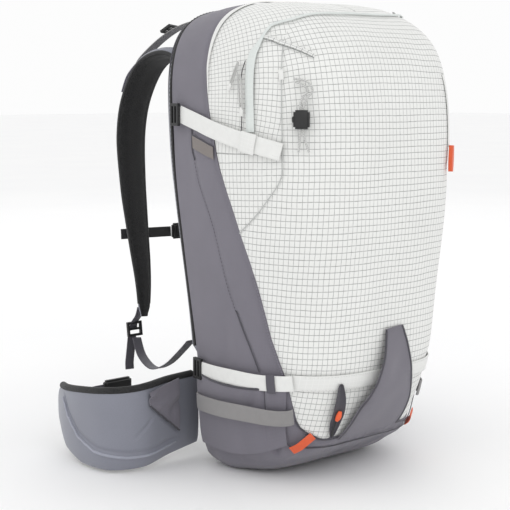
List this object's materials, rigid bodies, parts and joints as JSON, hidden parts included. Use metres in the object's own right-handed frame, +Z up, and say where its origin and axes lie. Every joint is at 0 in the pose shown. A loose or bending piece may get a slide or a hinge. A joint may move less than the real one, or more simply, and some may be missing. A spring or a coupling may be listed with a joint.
{
  "type": "ski backpack",
  "caption": "Top-loading ski backpack with zipped back panel, padded harness, folding hip belt wings, side compression straps, side pockets, ski loops and a tool keeper cord.",
  "frame": {"origin": "a point on the flat of the base, on the pack's centre plane, about a third of the way forward from the back", "axes": "+Z up with the pack standing on its base; +Y towards the wearer's back and the harness; -Y the front of the pack; -X the wearer's left"},
  "size_m": [0.489, 0.4326, 0.5762],
  "materials": {
    "back_pad": "moulded foam faced with knit",
    "back_zip": "moulded",
    "base_panel": "woven cloth",
    "base_tab_left": "woven tab",
    "base_tab_right": "woven tab",
    "carry_loop_front": "woven cloth",
    "cord_lock_body": "moulded",
    "cord_lock_button": "moulded",
    "frame_rod": "drawn rod",
    "frame_sheet": "moulded",
    "front_band": "woven",
    "front_panel": "ripstop cloth",
    "haul_loop": "woven cloth",
    "hip_buckle_left": "moulded",
    "hip_buckle_right": "moulded",
    "hip_gusset_left": "woven cloth",
    "hip_gusset_right": "woven cloth",
    "hip_web_left": "woven cloth",
    "hip_web_right": "woven cloth",
    "hip_wing_left": "moulded foam faced with knit",
    "hip_wing_right": "moulded foam faced with knit",
    "lifter_buckle_left": "moulded",
    "lifter_buckle_right": "moulded",
    "lifter_strap_left": "woven webbing",
    "lifter_strap_right": "woven webbing",
    "lower_buckle_left": "moulded",
    "lower_buckle_right": "moulded",
    "lower_strap_left": "woven",
    "lower_strap_right": "woven",
    "lower_web_left": "woven cloth",
    "lower_web_right": "woven cloth",
    "lumbar_pad": "foam faced with mesh",
    "pad_buckle_left": "moulded",
    "pad_buckle_right": "moulded",
    "shoulder_pad_left": "foam faced with mesh",
    "shoulder_pad_right": "foam faced with mesh",
    "side_panel_left": "woven cloth",
    "side_panel_right": "woven cloth",
    "side_pocket_left": "woven cloth",
    "side_pocket_right": "woven cloth",
    "side_zip_pull": "moulded",
    "ski_band_left": "woven webbing",
    "ski_band_right": "woven webbing",
    "sternum_buckle": "moulded",
    "sternum_strap_left": "woven webbing",
    "sternum_strap_right": "woven webbing",
    "tool_cord_a": "woven",
    "tool_cord_b": "woven",
    "tool_sleeve": "woven",
    "tool_toggle": "moulded",
    "top_zip": "woven",
    "upper_buckle_left": "moulded",
    "upper_buckle_right": "moulded",
    "upper_strap_left": "woven",
    "upper_strap_right": "woven",
    "web_tail_left": "woven cloth",
    "web_tail_right": "woven cloth",
    "zip_pull_left": "woven",
    "zip_pull_right": "woven"
  },
  "bodies": {
    "bag": {"back_zip": "back_zip", "base_panel": "base_panel", "base_tab_left": "base_tab_left", "base_tab_right": "base_tab_right", "carry_loop_front": "carry_loop_front", "cord_lock_body": "cord_lock_body", "front_band": "front_band", "front_panel": "front_panel", "lower_buckle_left": "lower_buckle_left", "lower_buckle_right": "lower_buckle_right", "lower_strap_left": "lower_strap_left", "lower_strap_right": "lower_strap_right", "lumbar_pad": "lumbar_pad", "side_panel_left": "side_panel_left", "side_panel_right": "side_panel_right", "side_pocket_left": "side_pocket_left", "side_pocket_right": "side_pocket_right", "side_zip_pull": "side_zip_pull", "ski_band_left": "ski_band_left", "ski_band_right": "ski_band_right", "tool_cord_a": "tool_cord_a", "tool_cord_b": "tool_cord_b", "tool_sleeve": "tool_sleeve", "tool_toggle": "tool_toggle", "top_zip": "top_zip", "upper_buckle_left": "upper_buckle_left", "upper_buckle_right": "upper_buckle_right", "upper_strap_left": "upper_strap_left", "upper_strap_right": "upper_strap_right", "zip_pull_left": "zip_pull_left", "zip_pull_right": "zip_pull_right"},
    "back_panel": {"back_pad": "back_pad", "frame_sheet": "frame_sheet", "frame_rod": "frame_rod", "haul_loop": "haul_loop", "shoulder_pad_left": "shoulder_pad_left", "shoulder_pad_right": "shoulder_pad_right", "lifter_strap_left": "lifter_strap_left", "lifter_strap_right": "lifter_strap_right", "lifter_buckle_left": "lifter_buckle_left", "lifter_buckle_right": "lifter_buckle_right", "pad_buckle_left": "pad_buckle_left", "pad_buckle_right": "pad_buckle_right", "lower_web_left": "lower_web_left", "lower_web_right": "lower_web_right", "web_tail_left": "web_tail_left", "web_tail_right": "web_tail_right"},
    "sternum": {"sternum_strap_left": "sternum_strap_left", "sternum_strap_right": "sternum_strap_right", "sternum_buckle": "sternum_buckle"},
    "wing_left": {"hip_wing_left": "hip_wing_left", "hip_gusset_left": "hip_gusset_left", "hip_web_left": "hip_web_left", "hip_buckle_left": "hip_buckle_left"},
    "wing_right": {"hip_wing_right": "hip_wing_right", "hip_gusset_right": "hip_gusset_right", "hip_web_right": "hip_web_right", "hip_buckle_right": "hip_buckle_right"},
    "lock_button": {"cord_lock_button": "cord_lock_button"}
  },
  "joints": [
    {"name": "back_panel_open", "type": "hinge", "parent": "bag", "child": "back_panel", "pos_m": [0, 0.082, 0.138], "axis": [-1, 0, 0], "range_deg": [0, 30]},
    {"name": "sternum_height", "type": "slide", "parent": "back_panel", "child": "sternum", "axis": [0, 0.2388, 0.9711], "range_m": [-0.015, 0.015]},
    {"name": "wing_left_fold", "type": "hinge", "parent": "bag", "child": "wing_left", "pos_m": [-0.1, 0.118, 0.07], "axis": [0, 0, 1], "range_deg": [-20, 4]},
    {"name": "wing_right_fold", "type": "hinge", "parent": "bag", "child": "wing_right", "pos_m": [0.1, 0.118, 0.07], "axis": [0, 0, -1], "range_deg": [-20, 4]},
    {"name": "lock_press", "type": "slide", "parent": "bag", "child": "lock_button", "axis": [0.5942, -0.8043, 0], "range_m": [0, 0.0012], "stiffness_N_per_m": 400, "springref_m": -0.001}
  ]
}
